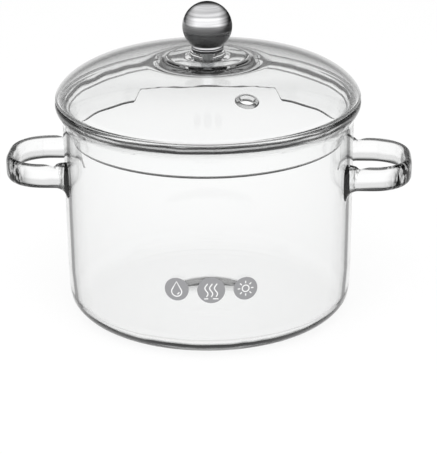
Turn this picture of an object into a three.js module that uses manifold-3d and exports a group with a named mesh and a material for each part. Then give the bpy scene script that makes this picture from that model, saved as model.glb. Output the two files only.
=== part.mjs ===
// Saucepan of clear borosilicate glass with a domed glass lid and a steel ball knob.
// Millimetres, +Z up. The origin is the centre of the base, on the surface the pan stands on.
// The two strap handles lie along X. The notch in the lid's skirt is at the back, towards +Y.

import * as THREE from 'three';
import { mergeVertices } from 'three/addons/utils/BufferGeometryUtils.js';
import Module from 'manifold-3d';

const wasm = await Module();
wasm.setup();

// Facets of the round pieces
const potFacets = 48;
const knobFacets = 28;
const screwFacets = 16;
const ventFacets = 18;

// Pot
const potRadius = 80.8;
const potHeight = 122.6;
const potWall = 3.1;
const baseThickness = 4;
const baseCornerRadius = 14;
const pushUpRadius = 34.5;
const pushUpRise = 0.9;
const pushUpSlope = 6;
const flareHeight = 8.6;
const flareReach = 4.1;
const flareEaseShare = 1.35;

// Handles, each a strap bent into a U and melted onto the wall at both ends
const handleReach = 113.5;
const handleHeight = 83.8;
const handleWidth = 54.8;
const handleBendRadius = 21.8;
const strapHeight = 13.8;
const strapThickness = 5;
const weldLength = 6.6;
const weldDrop = 6.5;
const weldRise = 1.3;
const weldSwell = 1.8;
const weldWaist = 2;
const weldGap = 0.3;

// Lid glass. The lid can be put on at any turn: it sits a little turned from square.
const lidTurn = THREE.MathUtils.degToRad(3.3);
const lidWall = 2.6;
const seatGap = 0.3;
const brimInset = 0.3;
const brimHeight = 1.8;
const brimEdgeRadius = 1.3;
const domeRise = 19.4;
const domeFlatnessShare = 4.3;
const domeShoulderShare = 1.45;
const skirtDepth = 21;
const skirtClearance = 1.7;
const skirtDraft = 0.6;
const skirtTopDrop = 9.2;
const seatStartShare = 0.25;

// Notch ground into the back of the skirt
const notchWidth = 83;
const notchDepth = 3.2;
const notchCornerRadius = 4;
const notchTilt = THREE.MathUtils.degToRad(14.5);

// Boss in the middle of the lid, with the pedestal that carries the knob
const bossFootRadius = 25.5;
const bossTopRadius = 20.5;
const bossRise = 2.4;
const bossEdge = 1.6;
const pedestalRadius = 9.3;
const pedestalRise = 3.1;
const pedestalSweep = 3.4;
const boreRadius = 3.5;

// Steam vent
const ventDistance = 65;
const ventAzimuth = THREE.MathUtils.degToRad(-71.9);
const ventHoleRadius = 3.4;
const ventRingRadius = 6.5;
const ventRingRise = 1;

// Knob
const knobRadius = 13.7;
const knobWall = 1;
const collarRadius = 8.9;
const collarHeight = 2.5;
const collarGroove = 0.5;
const insertClearance = 0.3;
const insertFlange = 2.4;
const insertBossRadius = 4.2;
const insertBossLength = 10;

// Screw and washers under the knob
const screwRadius = 2;
const screwHeadRadius = 3.9;
const screwHeadHeight = 2.4;
const screwHeadEdge = 0.8;
const screwTipGap = 1.2;
const screwClearance = 0.3;
const threadClearance = 0.1;
const recessLength = 4.4;
const recessWidth = 0.9;
const recessDepth = 1.2;
const upperSealRadius = 8.6;
const upperSealThickness = 0.8;
const lowerSealRadius = 7.5;
const lowerSealThickness = 1;
const sleeveClearance = 0.3;
const sleeveTopGap = 0.4;
const washerRadius = 6;
const washerThickness = 1;

// Length that a cutter runs past what it cuts
const overrun = 3;

// Outline points, or corners of a surface, that lie closer together than this are one
const pointSpacing = 0.03;
const cornerSpacing = 0.0003;

// Finishes
const glass = new THREE.MeshStandardMaterial({
  color: 0xeef4f4, roughness: 0.03, metalness: 0, transparent: true, opacity: 0.35,
});
const brushedSteel = new THREE.MeshStandardMaterial({ color: 0xb8babd, roughness: 0.28, metalness: 1 });
const screwSteel = new THREE.MeshStandardMaterial({ color: 0xd0d2d4, roughness: 0.18, metalness: 1 });
const silicone = new THREE.MeshStandardMaterial({ color: 0xdfe2e3, roughness: 0.55, metalness: 0 });
const blackRubber = new THREE.MeshStandardMaterial({ color: 0x1b1b1d, roughness: 0.6, metalness: 0 });

// Outline helpers. An outline is walked with the material on its left.
const point = (r, z) => new THREE.Vector2(r, z);

function arc(centreR, centreZ, radius, from, to, steps) {
  const points = [];
  for (let i = 0; i <= steps; i += 1) {
    const angle = THREE.MathUtils.degToRad(from + (to - from) * i / steps);
    points.push(point(centreR + radius * Math.cos(angle), centreZ + radius * Math.sin(angle)));
  }
  return points;
}

function bend(start, control, end, steps) {
  return new THREE.QuadraticBezierCurve(start, control, end).getPoints(steps);
}

function offsetLeft(points, distance) {
  return points.map((here, i) => {
    const before = points[Math.max(i - 1, 0)];
    const after = points[Math.min(i + 1, points.length - 1)];
    const along = after.clone().sub(before).normalize();
    return point(here.x - along.y * distance, here.y + along.x * distance);
  });
}

// Turns an outline about the Z axis. Neighbouring points that coincide are dropped first.
function turned(outline, facets) {
  const points = outline.filter((p, i) => i === 0 || p.distanceTo(outline[i - 1]) > pointSpacing);
  const geometry = new THREE.LatheGeometry(points, facets);
  geometry.rotateX(Math.PI / 2);
  return geometry;
}

function closedRing(outline, facets) {
  return turned([...outline, outline[0].clone()], facets);
}

// Solid helpers for the pieces that are cut or joined
function toSolid(geometry) {
  const bare = geometry.clone();
  bare.deleteAttribute('normal');
  bare.deleteAttribute('uv');
  const merged = mergeVertices(bare, cornerSpacing);
  const triangles = [];
  for (let i = 0; i < merged.index.count; i += 3) {
    const corners = [0, 1, 2].map((k) => merged.index.getX(i + k));
    if (new Set(corners).size === 3) triangles.push(...corners);
  }
  return new wasm.Manifold(new wasm.Mesh({
    numProp: 3,
    vertProperties: new Float32Array(merged.attributes.position.array),
    triVerts: new Uint32Array(triangles),
  }));
}

function fromSolid(solid) {
  const mesh = solid.getMesh();
  const geometry = new THREE.BufferGeometry();
  geometry.setAttribute('position', new THREE.BufferAttribute(mesh.vertProperties, 3));
  geometry.setIndex(new THREE.BufferAttribute(mesh.triVerts, 1));
  geometry.computeVertexNormals();
  return geometry;
}

function piece(name, geometry, material) {
  const mesh = new THREE.Mesh(geometry, material);
  mesh.name = name;
  return mesh;
}

// Flare of the pot's lip, from the straight wall up to the round lip
const lipBead = potWall / 2;
const lipRadius = potRadius + flareReach;
const beadCentre = point(lipRadius - lipBead, potHeight - lipBead);
const flareFoot = potHeight - lipBead - flareHeight;

function flareOutline(fromShare, steps) {
  const points = [];
  for (let i = 0; i <= steps; i += 1) {
    const share = fromShare + (1 - fromShare) * i / steps;
    const out = flareReach * Math.sin(share * Math.PI / 2) ** flareEaseShare;
    points.push(point(potRadius + out, flareFoot + flareHeight * share));
  }
  return points;
}

// Pot body: one blown wall with a shallow push-up in the base
function potBody() {
  const innerCorner = baseCornerRadius - potWall;
  const cornerR = potRadius - baseCornerRadius;
  const flare = flareOutline(0, 6);
  const outline = [
    point(0, pushUpRise),
    point(pushUpRadius - pushUpSlope, pushUpRise),
    point(pushUpRadius, 0),
    ...arc(cornerR, baseCornerRadius, baseCornerRadius, -90, 0, 6),
    ...flare,
    ...arc(beadCentre.x, beadCentre.y, lipBead, 0, 180, 5),
    ...offsetLeft(flare, potWall).reverse(),
    ...arc(cornerR, baseThickness + innerCorner, innerCorner, 0, -90, 5),
    point(pushUpRadius, baseThickness),
    point(pushUpRadius - pushUpSlope, baseThickness + pushUpRise),
    point(0, baseThickness + pushUpRise),
  ];
  return piece('pot_body', turned(outline, potFacets), glass);
}

// One strap section: flat sides with round edges, in the plane across the strap
function strapSection(halfThickness, above, below, stepsPerEdge) {
  const top = arc(0, above - halfThickness, halfThickness, 0, 180, stepsPerEdge);
  const bottom = arc(0, halfThickness - below, halfThickness, 180, 360, stepsPerEdge);
  return [...top, ...bottom];
}

// Skin through a row of rings with the same number of corners, closed at both ends
function loft(rings) {
  const count = rings[0].length;
  const corners = rings.flat();
  const triangles = [];
  for (let i = 0; i + 1 < rings.length; i += 1) {
    for (let j = 0; j < count; j += 1) {
      const a = i * count + j;
      const b = i * count + (j + 1) % count;
      triangles.push(a, b + count, b, a, a + count, b + count);
    }
  }
  const last = (rings.length - 1) * count;
  for (let j = 1; j + 1 < count; j += 1) {
    triangles.push(0, j, j + 1);
    triangles.push(last, last + j + 1, last + j);
  }
  const geometry = new THREE.BufferGeometry().setFromPoints(corners);
  geometry.setIndex(triangles);
  return geometry;
}

// Handle: the strap is followed from one weld to the other. Near each weld its top edge dips
// to a waist, and then the strap swells into a foot on the wall that runs down below it.
function handleGeometry() {
  const centreReach = handleReach - strapThickness / 2;
  const armY = (handleWidth - strapThickness) / 2;
  const bendR = handleBendRadius - strapThickness / 2;
  const wallX = Math.sqrt(potRadius ** 2 - armY ** 2);
  const weldSteps = 10;
  const bendSteps = 8;

  const half = [{ x: wallX - potWall, y: -armY, heading: 0 }];
  for (let i = 0; i <= weldSteps; i += 1) {
    half.push({ x: wallX + 2 * weldLength * i / weldSteps, y: -armY, heading: 0 });
  }
  for (let i = 0; i <= bendSteps; i += 1) {
    const turn = i / bendSteps * Math.PI / 2;
    half.push({
      x: centreReach - bendR + bendR * Math.sin(turn),
      y: -armY + bendR * (1 - Math.cos(turn)),
      heading: turn,
    });
  }
  const mirrored = half.map((s) => ({ x: s.x, y: -s.y, heading: Math.PI - s.heading })).reverse();

  const rings = [...half, ...mirrored].map(({ x, y, heading }) => {
    const out = THREE.MathUtils.clamp((x - wallX) / weldLength, 0, 2);
    const hollow = 1 - Math.sqrt(1 - Math.max(1 - out, 0) ** 2);
    const foot = Math.sqrt(1 - Math.min(out, 1) ** 2);
    const waist = (1 - Math.cos(Math.PI * Math.max(out, 1))) / 2;
    const section = strapSection(
      strapThickness / 2 + weldSwell * hollow,
      strapHeight / 2 - weldWaist * waist + (weldRise + weldWaist) * foot,
      strapHeight / 2 + weldDrop * hollow,
      5,
    );
    return section.map((p) => new THREE.Vector3(
      x + p.x * Math.sin(heading), y - p.x * Math.cos(heading), p.y,
    ));
  });

  const cutterRadius = potRadius + weldGap;
  const cutter = new THREE.CylinderGeometry(cutterRadius, cutterRadius, potHeight, potFacets);
  cutter.rotateX(Math.PI / 2);
  return fromSolid(toSolid(loft(rings)).subtract(toSolid(cutter)));
}

function handle(name, turn) {
  const mesh = piece(name, handleGeometry(), glass);
  mesh.position.z = handleHeight;
  mesh.rotation.z = turn;
  return mesh;
}

// Lid glass, in a frame whose origin is on the axis level with the top of the pot's lip
const brimRadius = lipRadius - brimInset;
const crownHeight = brimHeight + domeRise;
const bossTop = crownHeight + bossRise;
const pedestalTop = bossTop + pedestalRise;
const crownUnderside = crownHeight - lidWall;

function domeHeight(r) {
  return brimHeight + domeRise * (1 - (r / brimRadius) ** domeFlatnessShare) ** (1 / domeShoulderShare);
}

function domeOutline(toRadius, steps) {
  const end = Math.acos((toRadius / brimRadius) ** (domeFlatnessShare / 2));
  const points = [];
  for (let i = 0; i <= steps; i += 1) {
    const angle = end * i / steps;
    const r = brimRadius * Math.cos(angle) ** (2 / domeFlatnessShare);
    points.push(point(r, brimHeight + domeRise * Math.sin(angle) ** (2 / domeShoulderShare)));
  }
  return points;
}

function lidOutline() {
  const level = (p) => point(p.x, p.y - potHeight);
  const bead = level(beadCentre);
  const seat = offsetLeft(flareOutline(seatStartShare, 4), potWall + seatGap).map(level);
  const seatInside = offsetLeft(seat, lidWall);
  const beadClear = lipBead + seatGap;
  const skirtTopOuter = point(potRadius - potWall - skirtClearance, -skirtTopDrop);
  const skirtEdge = lidWall / 2;
  const skirtFootR = skirtTopOuter.x - skirtDraft - skirtEdge;
  const dome = domeOutline(bossFootRadius, 11);
  const ceiling = offsetLeft(dome, lidWall).filter((p) => p.y > bead.y + beadClear + lidWall);
  const pedestalFoot = point(bossTopRadius, bossTop);

  return [
    point(0, crownUnderside),
    point(bossTopRadius, crownUnderside),
    ...ceiling.reverse(),
    ...arc(bead.x, bead.y, beadClear + lidWall, 112, 180, 3),
    ...seatInside.reverse(),
    point(skirtTopOuter.x - lidWall, -skirtTopDrop + lidWall / 2),
    ...arc(skirtFootR, skirtEdge - skirtDepth, skirtEdge, 180, 360, 4),
    skirtTopOuter,
    ...seat,
    ...arc(bead.x, bead.y, beadClear, 160, 110, 2),
    ...arc(brimRadius - brimEdgeRadius, brimHeight, brimEdgeRadius, -75, -25, 2),
    ...dome,
    ...bend(
      point(bossTopRadius + bossEdge * 2, bossTop - bossEdge / 2),
      point(bossTopRadius + bossEdge, bossTop),
      pedestalFoot,
      2,
    ),
    ...bend(
      pedestalFoot,
      point(pedestalRadius + pedestalSweep, bossTop + bossEdge / 4),
      point(pedestalRadius, pedestalTop),
      5,
    ),
    point(0, pedestalTop),
  ];
}

// Puts a shape that was made about its own Z axis on the dome, square to the glass
function placeAtVent(geometry) {
  const step = pointSpacing;
  const rise = domeHeight(ventDistance + step) - domeHeight(ventDistance - step);
  const slope = Math.atan2(-rise, 2 * step);
  geometry.rotateY(slope);
  geometry.translate(ventDistance, 0, domeHeight(ventDistance));
  geometry.rotateZ(ventAzimuth);
  return geometry;
}

function ventRing() {
  const tube = (ventRingRadius - ventHoleRadius) / 2;
  const ring = new THREE.TorusGeometry(ventHoleRadius + tube, tube, 8, ventFacets);
  ring.scale(1, 1, ventRingRise / tube);
  return placeAtVent(ring);
}

function ventHole() {
  const length = 2 * (lidWall + ventRingRise + overrun);
  const hole = new THREE.CylinderGeometry(ventHoleRadius, ventHoleRadius, length, ventFacets);
  hole.rotateX(Math.PI / 2);
  return placeAtVent(hole);
}

function notchCutter() {
  const halfWidth = notchWidth / 2;
  const depth = skirtDepth - skirtTopDrop;
  const shape = new THREE.Shape();
  shape.moveTo(-halfWidth, -depth);
  shape.lineTo(halfWidth, -depth);
  shape.lineTo(halfWidth, -notchCornerRadius);
  shape.quadraticCurveTo(halfWidth, 0, halfWidth - notchCornerRadius, 0);
  shape.lineTo(notchCornerRadius - halfWidth, 0);
  shape.quadraticCurveTo(-halfWidth, 0, -halfWidth, -notchCornerRadius);
  shape.closePath();
  const backY = potRadius - potWall - skirtClearance;
  const frontY = Math.sqrt(backY ** 2 - halfWidth ** 2) - lidWall - overrun;
  const length = backY + overrun - frontY;
  const cutter = new THREE.ExtrudeGeometry(shape, { depth: length, bevelEnabled: false, curveSegments: 4 });
  cutter.rotateX(Math.PI / 2);
  cutter.translate(0, overrun, 0);
  cutter.rotateX(-notchTilt);
  cutter.translate(0, backY, notchDepth - skirtDepth);
  return cutter;
}

function lidGlass() {
  const borePastBoth = 2 * (pedestalTop - crownUnderside + overrun);
  const bore = new THREE.CylinderGeometry(boreRadius, boreRadius, borePastBoth, knobFacets);
  bore.rotateX(Math.PI / 2);
  bore.translate(0, 0, crownUnderside);
  const solid = toSolid(turned(lidOutline(), potFacets))
    .add(toSolid(ventRing()))
    .subtract(toSolid(ventHole()))
    .subtract(toSolid(notchCutter()))
    .subtract(toSolid(bore));
  return piece('lid_glass', fromSolid(solid), glass);
}

// Knob pieces, in a frame whose origin is on the axis level with the pedestal's top
const collarFoot = upperSealThickness;
const collarTop = collarFoot + collarHeight;
const ballCut = Math.sqrt(knobRadius ** 2 - collarRadius ** 2);
const ballCentre = collarTop + ballCut;
const ballInside = knobRadius - knobWall;
const ballMouth = Math.sqrt(ballInside ** 2 - ballCut ** 2);
const sealTop = crownUnderside - pedestalTop;
const washerTop = sealTop - lowerSealThickness;
const screwSeat = washerTop - washerThickness;
const insertTop = collarTop + insertBossLength;
const pinHole = screwRadius + screwClearance;

function washer(name, radius, foot, top, material) {
  const outline = [point(pinHole, foot), point(radius, foot), point(radius, top), point(pinHole, top)];
  return piece(name, closedRing(outline, knobFacets), material);
}

function knobBall() {
  const degrees = THREE.MathUtils.radToDeg;
  const outerStart = degrees(Math.atan2(-ballCut, collarRadius));
  const innerEnd = degrees(Math.atan2(-ballCut, ballMouth));
  const outline = [
    ...arc(0, ballCentre, ballInside, 90, innerEnd, 9),
    ...arc(0, ballCentre, knobRadius, outerStart, 90, 13),
  ];
  return piece('knob_ball', turned(outline, knobFacets), brushedSteel);
}

function knobCollar() {
  const middle = (collarFoot + collarTop) / 2;
  const outline = [
    point(pinHole, collarFoot),
    point(collarRadius - collarGroove, collarFoot),
    point(collarRadius, collarFoot + collarGroove),
    point(collarRadius - collarGroove, middle),
    point(collarRadius, collarTop - collarGroove),
    point(collarRadius - collarGroove, collarTop),
    point(pinHole, collarTop),
  ];
  return piece('knob_collar', closedRing(outline, knobFacets), brushedSteel);
}

function knobInsert() {
  const threadRadius = screwRadius + threadClearance;
  const flangeRadius = ballMouth - insertClearance;
  const outline = [
    point(threadRadius, collarTop),
    point(flangeRadius, collarTop),
    point(flangeRadius, collarTop + insertFlange),
    point(insertBossRadius, collarTop + insertFlange),
    point(insertBossRadius, insertTop),
    point(threadRadius, insertTop),
  ];
  return piece('knob_insert', closedRing(outline, knobFacets), screwSteel);
}

function lowerSeal() {
  const sleeveRadius = boreRadius - sleeveClearance;
  const outline = [
    point(pinHole, washerTop),
    point(lowerSealRadius, washerTop),
    point(lowerSealRadius, sealTop),
    point(sleeveRadius, sealTop),
    point(sleeveRadius, -sleeveTopGap),
    point(pinHole, -sleeveTopGap),
  ];
  return piece('lower_seal', closedRing(outline, knobFacets), silicone);
}

function knobScrew() {
  const headFoot = screwSeat - screwHeadHeight;
  const outline = [
    point(0, headFoot),
    ...bend(
      point(screwHeadRadius - screwHeadEdge, headFoot),
      point(screwHeadRadius, headFoot),
      point(screwHeadRadius, headFoot + screwHeadEdge),
      3,
    ),
    point(screwHeadRadius, screwSeat),
    point(screwRadius, screwSeat),
    point(screwRadius, insertTop - screwTipGap),
    point(0, insertTop - screwTipGap),
  ];
  const slot = (length, width) => {
    const box = new THREE.BoxGeometry(length, width, 2 * recessDepth);
    box.translate(0, 0, headFoot);
    return toSolid(box);
  };
  const solid = toSolid(turned(outline, screwFacets))
    .subtract(slot(recessLength, recessWidth))
    .subtract(slot(recessWidth, recessLength));
  return piece('knob_screw', fromSolid(solid), screwSteel);
}

// Assembly
const knob = new THREE.Group();
knob.position.z = pedestalTop;
knob.add(
  washer('upper_seal', upperSealRadius, 0, upperSealThickness, blackRubber),
  knobCollar(),
  knobBall(),
  knobInsert(),
  lowerSeal(),
  washer('screw_washer', washerRadius, screwSeat, washerTop, screwSteel),
  knobScrew(),
);

const lid = new THREE.Group();
lid.position.z = potHeight;
lid.rotation.z = lidTurn;
lid.add(lidGlass(), knob);

const saucepan = new THREE.Group();
saucepan.add(potBody(), handle('right_handle', 0), handle('left_handle', Math.PI), lid);

export default saucepan;
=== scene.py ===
"""Saucepan of clear glass with a domed glass lid and a steel ball knob, on a pale studio floor."""

import math

import bmesh
import bpy
from bpy.props import FloatProperty, FloatVectorProperty, IntProperty, PointerProperty
from mathutils import Matrix, Vector


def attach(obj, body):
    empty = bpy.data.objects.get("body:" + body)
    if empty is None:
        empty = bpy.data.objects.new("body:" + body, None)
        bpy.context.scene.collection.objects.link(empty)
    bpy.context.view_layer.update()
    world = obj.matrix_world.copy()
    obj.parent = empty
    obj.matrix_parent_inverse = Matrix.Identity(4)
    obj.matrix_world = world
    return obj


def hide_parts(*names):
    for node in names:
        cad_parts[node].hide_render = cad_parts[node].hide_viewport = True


bl_info = {
    "name": "Saucepan with glass lid",
    "version": (1, 0, 0),
    "blender": (4, 5, 0),
    "location": "View3D > Sidebar > Saucepan",
    "description": "Models a clear-glass saucepan with strap handles, a domed glass lid and a ball knob",
    "category": "Mesh",
}

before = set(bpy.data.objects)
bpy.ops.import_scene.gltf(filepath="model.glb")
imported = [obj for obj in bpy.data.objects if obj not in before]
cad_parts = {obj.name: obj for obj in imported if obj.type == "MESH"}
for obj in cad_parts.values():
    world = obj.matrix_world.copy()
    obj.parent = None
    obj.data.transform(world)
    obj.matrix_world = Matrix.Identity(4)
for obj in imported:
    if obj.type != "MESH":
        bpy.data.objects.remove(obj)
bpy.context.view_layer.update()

MM = 0.001
TURN = math.tau
MERGE_DISTANCE = 0.002 * MM


def length(name, description, millimetres):
    return FloatProperty(name=name, description=description, default=millimetres * MM, unit="LENGTH", precision=5)


def angle(name, description, degrees):
    return FloatProperty(name=name, description=description, default=math.radians(degrees), subtype="ANGLE")


def share(name, description, value):
    return FloatProperty(name=name, description=description, default=value, subtype="FACTOR")


def count(name, description, value):
    return IntProperty(name=name, description=description, default=value, min=3)


def colour(name, description, value):
    return FloatVectorProperty(
        name=name, description=description, default=value, size=4, min=0, max=1, subtype="COLOR"
    )


class PotSizes(bpy.types.PropertyGroup):
    """Sizes of the blown pot"""

    radius: length("Radius", "Outside radius of the straight wall", 80.8)
    height: length("Height", "From the table to the top of the lip", 122.6)
    wall: length("Wall", "Thickness of the wall and the flare", 3.1)
    base: length("Base", "Thickness of the base", 4)
    base_corner: length("Base corner", "Outside radius between base and wall", 14)
    push_up_radius: length("Push-up radius", "Radius of the shallow rise in the base", 27)
    push_up_rise: length("Push-up rise", "How far the middle of the base's underside is raised", 2)
    push_up_edge: length("Push-up edge", "How wide the edge of the rise is rounded", 3)
    flare_height: length("Flare height", "Height over which the wall flares to the lip", 8.6)
    flare_reach: length("Flare reach", "How far the lip stands out from the wall", 4.1)
    flare_ease: share("Flare ease", "How late the flare starts to lean out", 1.35)
    facets: count("Facets", "Steps round the axis, before smoothing", 96)


class HandleSizes(bpy.types.PropertyGroup):
    """Sizes of the strap handles"""

    reach: length("Reach", "From the axis to the outside of the loop", 113.5)
    height: length("Height", "Height of the strap's middle", 83.8)
    width: length("Width", "Outside width of the loop", 54.8)
    bend: length("Bend", "Outside radius of the loop's corners", 21.8)
    strap_height: length("Strap height", "Height of the strap", 13.8)
    strap_thickness: length("Strap thickness", "Thickness of the strap", 5)
    strap_fullness: share("Strap fullness", "Height of the strap's round edges, in half thicknesses", 1.6)
    weld_length: length("Weld length", "Length of the foot on the wall", 6.6)
    weld_drop: length("Weld drop", "How far the foot runs down below the strap", 6.5)
    weld_rise: length("Weld rise", "How far the foot stands above the strap", 1.3)
    weld_swell: length("Weld swell", "How far the foot swells to each side", 1.8)
    weld_waist: length("Weld waist", "Dip of the strap's top next to the foot", 1.1)


class LidSizes(bpy.types.PropertyGroup):
    """Sizes of the lid glass"""

    facets: count("Facets", "Steps round the axis, before smoothing", 144)
    turn: angle("Turn", "How far the lid is turned on the pot", 3.3)
    wall: length("Wall", "Thickness of the lid", 2.6)
    seat_gap: length("Seat gap", "Gap between the lid and the pot", 0.3)
    brim_inset: length("Brim inset", "How far the brim stays inside the lip", 0.3)
    brim_height: length("Brim height", "Height of the brim's edge above the lip", 1.8)
    brim_edge: length("Brim edge", "Radius of the brim's edge", 1.3)
    brim_floor: length("Brim floor", "Thickness of the hollow brim's floor over the lip", 1.1)
    dome_rise: length("Dome rise", "Height of the dome above the brim", 19.4)
    dome_flatness: share("Dome flatness", "How flat the top of the dome is", 4.3)
    dome_shoulder: share("Dome shoulder", "How full the dome's shoulder is", 1.45)
    skirt_depth: length("Skirt depth", "How far the skirt hangs into the pot", 21)
    skirt_clearance: length("Skirt clearance", "Gap between the skirt and the wall", 1.7)
    skirt_draft: length("Skirt draft", "How far the skirt leans in", 0.6)
    skirt_top: length("Skirt top", "Depth at which the straight skirt starts", 9.2)
    # The skirt's foot is painted almost black: painted shade.
    skirt_foot: length("Skirt foot", "Height of the skirt's darker foot", 1.6)
    skirt_tilt: length("Skirt tilt", "How much shorter the skirt is at the back", 2)
    foot_wave: length("Foot wave", "How far the foot's edge wavers", 0.4)
    seat_start: share("Seat start", "Where on the flare the lid starts to follow it", 0.25)
    notch_width: length("Notch width", "Width of the notch in the skirt", 83)
    notch_depth: length("Notch depth", "Depth of the notch in its middle", 3.2)
    notch_corner: length("Notch corner", "Radius of the notch's corners", 4)
    notch_tilt: angle("Notch tilt", "How far the notch leans back", 14.5)
    boss_foot: length("Boss foot", "Radius of the boss's foot", 24.8)
    boss_top: length("Boss top", "Radius of the boss's flat top", 22)
    boss_rise: length("Boss rise", "Height of the boss", 2.4)
    boss_edge: length("Boss edge", "Width of the boss's rounded shoulder", 0.7)
    pedestal: length("Pedestal radius", "Radius of the pedestal under the knob", 9.3)
    pedestal_rise: length("Pedestal rise", "Height of the pedestal", 3.1)
    pedestal_sweep: length("Pedestal sweep", "How far the pedestal's foot sweeps out", 3.4)
    bore: length("Bore", "Radius of the hole for the screw", 3.5)
    vent_distance: length("Vent distance", "From the axis to the steam vent", 65)
    vent_azimuth: angle("Vent azimuth", "Where the steam vent is round the lid", -71.9)
    vent_hole: length("Vent hole", "Radius of the steam vent", 3.4)
    vent_ring: length("Vent ring", "Outside radius of the raised ring", 6.5)
    vent_flare: length("Vent flare", "How much the hole widens above and below", 0.9)
    vent_rise: length("Vent rise", "Height of the raised ring", 1)


class KnobSizes(bpy.types.PropertyGroup):
    """Sizes of the knob and what holds it"""

    radius: length("Radius", "Outside radius of the ball", 13.7)
    wall: length("Wall", "Thickness of the hollow ball", 1)
    collar_radius: length("Collar radius", "Radius of the grooved collar", 8.9)
    collar_height: length("Collar height", "Height of the collar", 2.5)
    collar_groove: length("Collar groove", "Depth of the collar's groove", 0.5)
    insert_clearance: length("Insert clearance", "Gap round the insert's flange", 0.3)
    insert_flange: length("Insert flange", "Height of the insert's flange", 2.4)
    insert_boss: length("Insert boss", "Radius of the insert's boss", 4.2)
    insert_length: length("Insert length", "Length of the insert", 10)
    screw: length("Screw", "Radius of the screw", 2)
    head_radius: length("Head radius", "Radius of the screw's head", 3.9)
    head_height: length("Head height", "Height of the screw's head", 2.4)
    head_edge: length("Head edge", "Radius of the head's edge", 0.8)
    tip_gap: length("Tip gap", "How far the screw stays short of the insert's end", 1.2)
    clearance: length("Clearance", "Gap between the screw and the rings round it", 0.3)
    thread_clearance: length("Thread clearance", "Gap between the screw and the insert", 0.1)
    recess_length: length("Recess length", "Length of the cross recess", 4.4)
    recess_width: length("Recess width", "Width of the cross recess", 0.9)
    recess_depth: length("Recess depth", "Depth of the cross recess", 1.2)
    upper_seal_radius: length("Upper seal radius", "Radius of the seal under the collar", 8.6)
    upper_seal: length("Upper seal", "Thickness of the seal under the collar", 0.8)
    lower_seal_radius: length("Lower seal radius", "Radius of the seal inside the lid", 7.5)
    lower_seal: length("Lower seal", "Thickness of the seal inside the lid", 1)
    sleeve_clearance: length("Sleeve clearance", "Gap between the sleeve and the bore", 0.3)
    sleeve_top: length("Sleeve top", "How far the sleeve stays below the pedestal", 0.4)
    washer_radius: length("Washer radius", "Radius of the screw's washer", 6)
    washer: length("Washer", "Thickness of the screw's washer", 1)


class PrintSizes(bpy.types.PropertyGroup):
    """Sizes of the grey marks printed on the front of the pot"""

    height: length("Height", "Height of the marks' centres", 41)
    spacing: length("Spacing", "Distance between neighbouring marks", 18.4)
    middle_radius: length("Middle radius", "Radius of the middle mark", 7.4)
    outer_radius: length("Outer radius", "Radius of the outer marks", 6.5)
    line: length("Line", "Width of the drawn lines", 0.65)
    azimuth: angle("Azimuth", "Where the marks are round the pot", -86.2)
    lift: length("Lift", "How far the ink stands on the glass", 0.06)


class Finishes(bpy.types.PropertyGroup):
    """Colours of the finishes"""

    glass: colour("Glass", "Colour of the clear glass", (0.996, 0.999, 0.998, 1))
    ripple: length("Ripple", "Depth of the glass's ripples", 0.012)
    rubber: colour("Rubber", "Colour of the flat seal under the knob", (0.03, 0.03, 0.032, 1))
    turned_steel: colour("Turned steel", "Colour of the ball and the collar", (0.62, 0.62, 0.63, 1))
    bright_steel: colour("Bright steel", "Colour of the screw, washer and insert", (0.78, 0.79, 0.8, 1))
    silicone: colour("Silicone", "Colour of the seal and sleeve inside the lid", (0.93, 0.94, 0.94, 1))
    ink: colour("Ink", "Colour of the printed marks", (0.3, 0.3, 0.31, 1))
    ink_line: colour("Ink line", "Colour of the lines in the marks", (0.86, 0.86, 0.86, 1))


class StageSettings(bpy.types.PropertyGroup):
    """The camera and the studio"""

    aim: length("Aim", "Height that the camera looks at", 70)
    distance: length("Distance", "From the camera to the point that it looks at", 1000)
    azimuth: angle("Azimuth", "How far the camera stands to the right of the front", 3.3)
    elevation: angle("Elevation", "How far the camera looks down", 20.36)
    roll: angle("Roll", "How far the camera is tipped clockwise", 0.56)
    lens: FloatProperty(name="Lens", description="Focal length", default=140.38, unit="CAMERA")
    shift_x: FloatProperty(name="Shift X", description="Sideways shift of the frame", default=0.0213)
    shift_y: FloatProperty(name="Shift Y", description="Upright shift of the frame", default=-0.0914)
    floor: length("Floor", "Half the width of the floor", 1500)
    floor_gap: length("Floor gap", "How far the floor lies below the base", 0.2)
    window: length("Window", "Width of the soft window overhead", 1400)
    window_tilt: angle("Window tilt", "How far the window leans to the front", 28)
    window_height: length("Window height", "From the pot to the window", 1500)
    window_power: FloatProperty(name="Window power", description="Light of the window", default=22, unit="POWER")


def settings(context):
    return context.scene.saucepan


# Outlines. An outline is a row of corners (radius, height) or (radius, height, rounding).
def arc(centre_r, centre_z, radius, start, end, steps):
    angles = [math.radians(start + (end - start) * i / steps) for i in range(steps + 1)]
    return [(centre_r + radius * math.cos(a), centre_z + radius * math.sin(a)) for a in angles]


def bend(start, control, end, steps):
    points = []
    for i in range(steps + 1):
        t = i / steps
        points.append(tuple(
            (1 - t) ** 2 * a + 2 * t * (1 - t) * b + t ** 2 * c for a, b, c in zip(start, control, end)
        ))
    return points


def offset_left(points, distance):
    moved = []
    for i, here in enumerate(points):
        before, after = points[max(i - 1, 0)], points[min(i + 1, len(points) - 1)]
        along = (Vector(after) - Vector(before)).normalized()
        moved.append((here[0] - along.y * distance, here[1] + along.x * distance))
    return moved


def raised(points, rise):
    return [(r, z + rise, *rest) for r, z, *rest in points]


def spread(points, gap=0.03 * MM):
    kept = points[:1]
    for p in points[1:]:
        if math.hypot(p[0] - kept[-1][0], p[1] - kept[-1][1]) > gap:
            kept.append(p)
    return kept


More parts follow.
